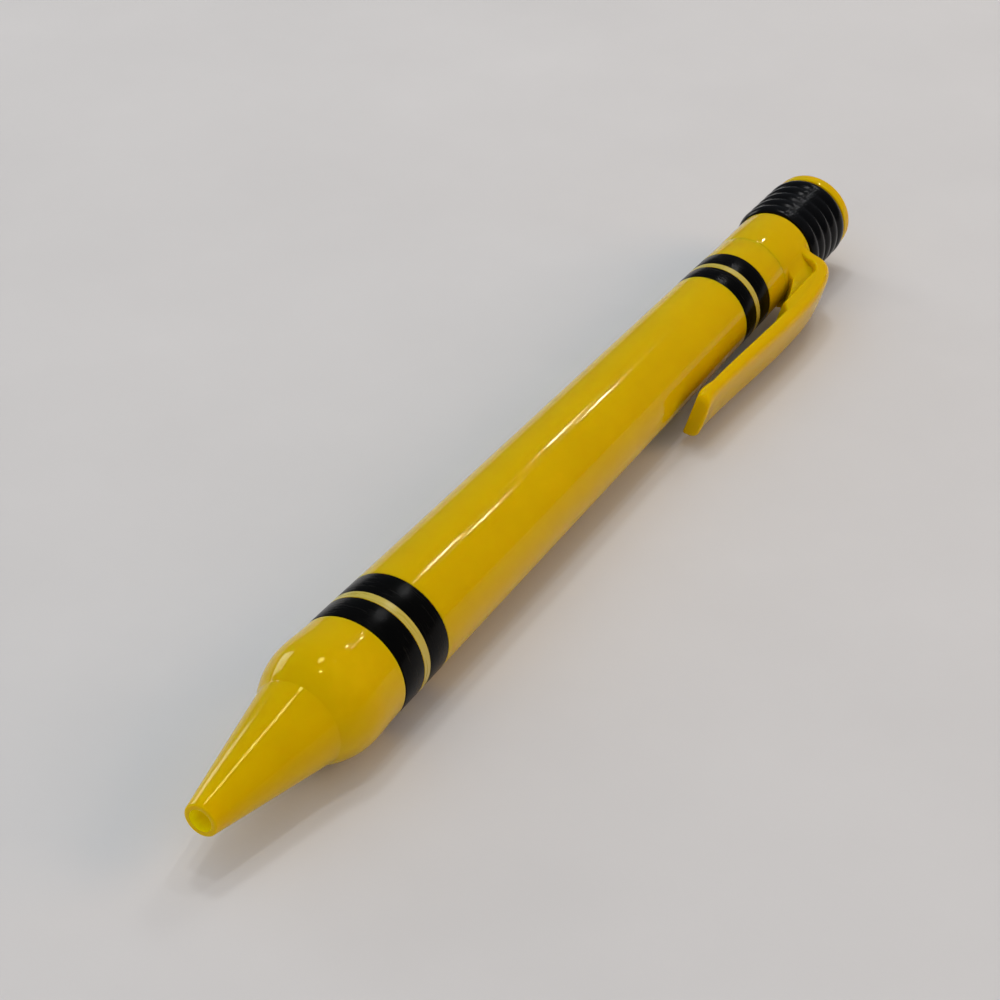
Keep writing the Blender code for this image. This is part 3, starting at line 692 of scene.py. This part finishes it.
# %% Add the web and the pad under the clip
WEB_WIDE = 4.6
WEB_ROUND = 0.4
WEB_FILLET = 4.0
WEB_STEPS = 56
PAD_HALF = CLIP_WIDE / 2 - 0.02
PAD_LOW = COLLAR_R + 1.4
PAD_ROUND = 0.4
WELD = 1e-7
WEB_LOW = 3.7
WEB_INTO_CLIP = 0.6
WEB_HIGH = CROWN_RHO - CLIP_THICK + WEB_INTO_CLIP
WEB_FRONT = COLLAR_END - 14.6
PAD_LEAN = 1.9
WEB_LEAN = 6.0
WEB_BACK = COLLAR_END - 0.6
WEB_BACK_LEAN = 2.2
WEB_CLEAR = 0.1


def web_section(front, back, rho, half):
    points = []
    for forth, side, start in ((1, 1, 0), (-1, 1, 90), (-1, -1, 180), (1, -1, 270)):
        for i in range(5):
            angle = math.radians(start + 90 * i / 4)
            middle = back - WEB_ROUND if forth > 0 else front + WEB_ROUND
            station = middle + WEB_ROUND * math.cos(angle)
            points.append(clip_point(station, rho, side * (half - WEB_ROUND) + WEB_ROUND * math.sin(angle)))
    return points


webs = []
for i in range(WEB_STEPS + 1):
    up = i / WEB_STEPS
    rho = WEB_LOW + (WEB_HIGH - WEB_LOW) * up
    half = filleted_half(WEB_WIDE / 2, rho, WEB_FILLET)
    into_pad = min(1.0, max(0.0, (rho - PAD_LOW) / PAD_ROUND))
    half += (PAD_HALF - half) * math.sqrt(1 - (1 - into_pad) ** 2)
    above = min(1.0, max(0.0, (rho - PAD_LOW) / (WEB_HIGH - PAD_LOW)))
    below = min(1.0, max(0.0, (PAD_LOW - rho) / (PAD_LOW - COLLAR_R)))
    front = WEB_FRONT + PAD_LEAN * (1 - above) + WEB_LEAN * math.sqrt(below)
    webs.append(web_section(front, WEB_BACK - WEB_BACK_LEAN * up, rho, half))
bm = bmesh.new()
loft_sections(bm, webs)
web = scratch_form("web_form", bm)

saddle_r = COLLAR_R + WEB_CLEAR
bm = bmesh.new()
saddle_outline = [(COLLAR_SPIGOT_START, 0.0), (COLLAR_SPIGOT_START, saddle_r)]
saddle_outline += [(collar_face, saddle_r), (collar_face, 0.0)]
turn_outline(bm, saddle_outline, SEGMENTS)
combine(web, scratch_form("saddle_form", bm), "DIFFERENCE")
combine(moulding, web, "UNION")
bm = bmesh.new()
bm.from_mesh(moulding.data)
bpy.data.objects.remove(moulding)
bmesh.ops.remove_doubles(bm, verts=bm.verts, dist=WELD)
collar = finish_mesh("clip_collar_moulding", bm, "pen_body", "clip_collar")
collar.data.materials.append(YELLOW_ABS)

# %% [markdown]
# ## Twist knob and end cap
# The ribbed sleeve is what the fingers turn. Its ribs are broad rings with narrow grooves, a little smaller
# towards the end. A yellow disc closes it. Both ride on the knob's body, so they turn together when the
# refill comes out.

# %% Turn the knob and the cap
KNOB_START = COLLAR_END + 0.2
KNOB_END = 138.0
KNOB_FRONT_R = COLLAR_R + 0.45
KNOB_BACK_R = KNOB_FRONT_R - 0.12
KNOB_BORE_R = 3.2
RIBS = 5
RIB_DEEP = 0.38
RIB_STEPS = 16
RIB_POWER = 0.7
CAP_R = KNOB_BACK_R - 0.2
CAP_ROUND = 0.75
CAP_FRONT_ROUND = 0.15
CAP_STEM_R = 1.9
CAP_STEM_END = 130.1

pitch = (KNOB_END - KNOB_START) / RIBS
knob_outline = [(KNOB_START, KNOB_BORE_R), (KNOB_START, KNOB_FRONT_R - RIB_DEEP)]
for rib in range(RIBS):
    for i in range(RIB_STEPS):
        part = (i + 0.5) / RIB_STEPS
        station = KNOB_START + pitch * (rib + part)
        crest = KNOB_FRONT_R + (KNOB_BACK_R - KNOB_FRONT_R) * (rib + part) / RIBS
        knob_outline.append((station, crest - RIB_DEEP * (1 - abs(math.sin(math.pi * part)) ** RIB_POWER)))
knob_outline += [(KNOB_END, KNOB_BACK_R - RIB_DEEP), (KNOB_END, KNOB_BORE_R)]
bm = bmesh.new()
turn_outline(bm, knob_outline, SEGMENTS)
knob = finish_mesh("twist_knob_ribbed", bm, "knob", "twist_knob")
knob.data.materials.append(BLACK_ABS)

cap_start = KNOB_END + FIT
cap_outline = [(LENGTH, 0.0)]
cap_outline += round_corner((LENGTH, 0.0), (LENGTH, CAP_R), (cap_start, CAP_R), CAP_ROUND, 8)
cap_outline += round_corner((LENGTH, CAP_R), (cap_start, CAP_R), (cap_start, CAP_STEM_R), CAP_FRONT_ROUND, 4)
cap_outline += [(cap_start, CAP_STEM_R), (CAP_STEM_END, CAP_STEM_R), (CAP_STEM_END, 0.0)]
bm = bmesh.new()
turn_outline(bm, cap_outline, SEGMENTS)
cap = finish_mesh("end_cap_disc", bm, "knob", "end_cap")
cap.data.materials.append(YELLOW_ABS)

# %% [markdown]
# ## Return spring
# The spring is one steel wire wound round the refill. In the pen it shortens as the refill slides out; here it rides
# on the pen's body as one rigid piece.

# %% Wind the spring
SPRING_FROM = SPRING_SEAT + 0.3
SPRING_TO = 24.7
COIL_R = 2.15
WIRE_R = 0.2
COILS = 10
WIRE_SIDES = 10
COIL_STEPS = 24

steps = COILS * COIL_STEPS
path = []
for i in range(steps + 1):
    angle = 2 * math.pi * COILS * i / steps
    station = SPRING_FROM + (SPRING_TO - SPRING_FROM) * i / steps
    path.append(np.array((station, COIL_R * math.cos(angle), COIL_R * math.sin(angle))))
wire = []
for i, here in enumerate(path):
    run = path[min(i + 1, steps)] - path[max(i - 1, 0)]
    run = run / np.linalg.norm(run)
    out = np.array((0.0, here[1], here[2])) / COIL_R
    out = out - run * float(out @ run)
    out = out / np.linalg.norm(out)
    side = np.cross(run, out)
    loop = []
    for k in range(WIRE_SIDES):
        angle = 2 * math.pi * k / WIRE_SIDES
        loop.append(on_pen(*(here + WIRE_R * (out * math.cos(angle) + side * math.sin(angle)))))
    wire.append(loop)
bm = bmesh.new()
loft_sections(bm, wire)
spring = finish_mesh("return_spring_wire", bm, "pen_body", "return_spring")
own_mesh(spring)

# %% [markdown]
# ## Inner materials
# The pieces inside are seen only when the pen is taken apart, but they get what they are made of too. Acetal
# is a waxy white plastic for sliding parts. Polypropylene is milky and lets some light through. Drawn steel
# wire and turned brass show fine lines from the tools that made them. The ball is polished carbide. The
# rings and lines are drawn coarser than the real ones, which would be too fine to see.

# %% Make the inner materials
TOOL_LINE_MM = 0.25
GRAIN_MM = 0.8
TURNED = 0.05
DRAWN = 0.2

ACETAL = finish_look("moulded_acetal_white", ("#D9D8D0", "#E6E5DE", "#EDECE6"), (0.34, 0.46),
                     FLOW_MM, RUB_MM, GRAIN_MM, 0.004, sockets={"IOR": 1.48})
POLYPROPYLENE = finish_look("extruded_polypropylene", ("#C9CED0", "#DADEDF", "#E2E5E6"), (0.25, 0.35),
                            FLOW_MM, RUB_MM, GRAIN_MM, 0.002,
                            sockets={"IOR": 1.49, "Transmission Weight": 0.55})
INK = finish_look("ball_pen_ink_blue", ("#0A1238", "#101B52", "#16245F"), (0.08, 0.16),
                  FLOW_MM, RUB_MM, GRAIN_MM, 0.001, sockets={"IOR": 1.45})
BRASS = finish_look("turned_brass", ("#B08D45", "#C9A75C", "#D2B36C"), (0.22, 0.34),
                    TOOL_LINE_MM, TOOL_LINE_MM, TOOL_LINE_MM, 0.003, TURNED, {"Metallic": 1.0})
CARBIDE = finish_look("polished_carbide", ("#8C8F92", "#A3A6A8", "#B0B3B5"), (0.08, 0.16),
                      TOOL_LINE_MM, TOOL_LINE_MM, TOOL_LINE_MM, 0.0005, sockets={"Metallic": 1.0})
STEEL = finish_look("drawn_steel_wire", ("#8E9194", "#A9ACAE", "#B7BABC"), (0.22, 0.36),
                    TOOL_LINE_MM, TOOL_LINE_MM, TOOL_LINE_MM, 0.002, DRAWN, {"Metallic": 1.0})
RUBBER = finish_look("moulded_nitrile_rubber", ("#161616", "#212121", "#2A2A29"), (0.55, 0.7),
                     FLOW_MM, RUB_MM, GRAIN_MM, 0.006, sockets={"IOR": 1.52})
spring.data.materials.append(STEEL)
inner_looks = {
    "cam_drum": ACETAL, "guide_sleeve": ACETAL, "refill_carrier": ACETAL, "cross_pin": STEEL,
    "friction_ring": RUBBER, "refill_tube": POLYPROPYLENE, "spring_shoulder": POLYPROPYLENE,
    "ink_column": INK, "refill_point": BRASS, "writing_ball": CARBIDE,
}
for node_name, look in inner_looks.items():
    for holder in frame["nodes"][node_name].material_slots:
        holder.material = look
print("inner pieces dressed:", len(inner_looks))

# %% [markdown]
# ## Table and light
# The pen lies on a sheet of plain pale paper in soft room light, which is brighter from above than from the sides.
# A wide dim panel stands for a bright wall behind the pen and shades the barrel from left to right. A warm panel
# low on the right lights the clip's outer face, and a panel in front lights the nose and reaches into its bore. A few
# small ceiling lamps add little light, but on a round gloss surface each one draws a thin bright line. The lines'
# place says where the lamps are: a mirror direction is worked out from the camera and the surface, and the lamp
# hangs along it. The gloss in the photograph shows little but lamps, so as a choice for this picture reflections
# see half of the sky and none of the three panels, and no lamp is seen directly.

# %% Lay the paper
TABLE_HALF = 2.0
FIBRE_MM = 0.7
PAPER_PATCH_MM = 45.0
PAPER_RUB_MM = 5.0

PAPER = finish_look("uncoated_white_paper", ("#CDCCCB", "#D0CFCE", "#D2D1D0"), (0.85, 0.95),
                    PAPER_PATCH_MM, PAPER_RUB_MM, FIBRE_MM, 0.012, sockets={"IOR": 1.5, "Specular IOR Level": 0.15})

bm = bmesh.new()
corners = [bm.verts.new((x * TABLE_HALF, y * TABLE_HALF, cad_low.z)) for x, y in ((-1, -1), (1, -1), (1, 1), (-1, 1))]
bm.faces.new(corners)
table_mesh = bpy.data.meshes.new("table")
bm.to_mesh(table_mesh)
bm.free()
table_mesh.materials.append(PAPER)
table = bpy.data.objects.new("table", table_mesh)
bpy.context.scene.collection.objects.link(table)
table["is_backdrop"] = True
print("table at height, mm:", round(cad_low.z / MM, 3))

# %% Hang the lamps
HORIZON_LIGHT = 0.22
ZENITH_LIGHT = 0.52
MIRRORED_SHARE = 0.5
SEEN_LIGHT = 0.62
LAMP_HEIGHT = 0.8
LAMP_SIDE = 0.03
LAMP_WATTS = 0.34


def lamp(name, at, towards, side, watts, colour="#FFFFFF", mirrored=True):
    data = bpy.data.lights.new(name, "AREA")
    data.shape = "SQUARE"
    data.size = side
    data.energy = watts
    data.color = linear(colour)[:3]
    made = bpy.data.objects.new(name, data)
    made.location = at
    made.visible_glossy = mirrored
    made.visible_camera = False
    made.rotation_mode = "QUATERNION"
    made.rotation_quaternion = (Vector(towards) - Vector(at)).to_track_quat("-Z", "Y")
    bpy.context.scene.collection.objects.link(made)
    print(name, "at", [round(v, 2) for v in at], "watts", watts)


ORIGIN = (0.0, 0.0, 0.0)
lamp("bright_wall", (-0.5, 1.2, 2.2), ORIGIN, 4.0, 22.0, mirrored=False)
ceiling = {"a": (0.735, 0.024), "b": (0.787, -0.072), "c": (0.885, 0.156), "d": (0.913, 0.04), "e": (-0.03, 0.0),
           "f": (0.27, -0.08)}
for letter, (x, y) in ceiling.items():
    lamp("ceiling_lamp_" + letter, (x, y, LAMP_HEIGHT), (x, y, 0.0), LAMP_SIDE, LAMP_WATTS)
lamp("ceiling_panel", (0.16, 0.17, LAMP_HEIGHT), ORIGIN, 0.09, 0.65)
lamp("low_window", (0.25, 1.1, 0.30), (-0.06, 0.0, 0.0), 0.36, 1.9)
lamp("warm_wall", (0.66, -1.14, 0.57), ORIGIN, 0.9, 9.2, "#FFD4A8", mirrored=False)
lamp("front_wall", (-1.1, -0.05, 0.42), ORIGIN, 0.8, 2.4, mirrored=False)

world = bpy.data.worlds.new("room")
bpy.context.scene.world = world
world.use_nodes = True
background = world.node_tree.nodes["Background"]
background.inputs["Color"].default_value = linear("#DDE7F3")
direction = add_node(world.node_tree, "ShaderNodeTexCoord")
parts = add_node(world.node_tree, "ShaderNodeSeparateXYZ", {"Vector": (direction, "Generated")})
sky = add_node(world.node_tree, "ShaderNodeMapRange", {"Value": (parts, "Z")},
               {"To Min": HORIZON_LIGHT, "To Max": ZENITH_LIGHT})
ray = add_node(world.node_tree, "ShaderNodeLightPath")
dimming = add_node(world.node_tree, "ShaderNodeMapRange", {"Value": (ray, "Is Glossy Ray")},
                   {"To Min": 1.0, "To Max": MIRRORED_SHARE})
level = add_node(world.node_tree, "ShaderNodeMath", {0: (sky, "Result"), 1: (dimming, "Result")},
                 operation="MULTIPLY")
backdrop = add_node(world.node_tree, "ShaderNodeMath", {0: (ray, "Is Camera Ray")}, {1: SEEN_LIGHT},
                    operation="MULTIPLY")
strength = add_node(world.node_tree, "ShaderNodeMath", {0: (level, "Value"), 1: (backdrop, "Value")},
                    operation="MAXIMUM")
world.node_tree.links.new(strength.outputs["Value"], background.inputs["Strength"])
bpy.context.scene.view_settings.view_transform = "Standard"

# %% Print the visual box and finish
low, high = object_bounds()
print("visual box, mm:", [round(v * 1000, 2) for v in high - low])
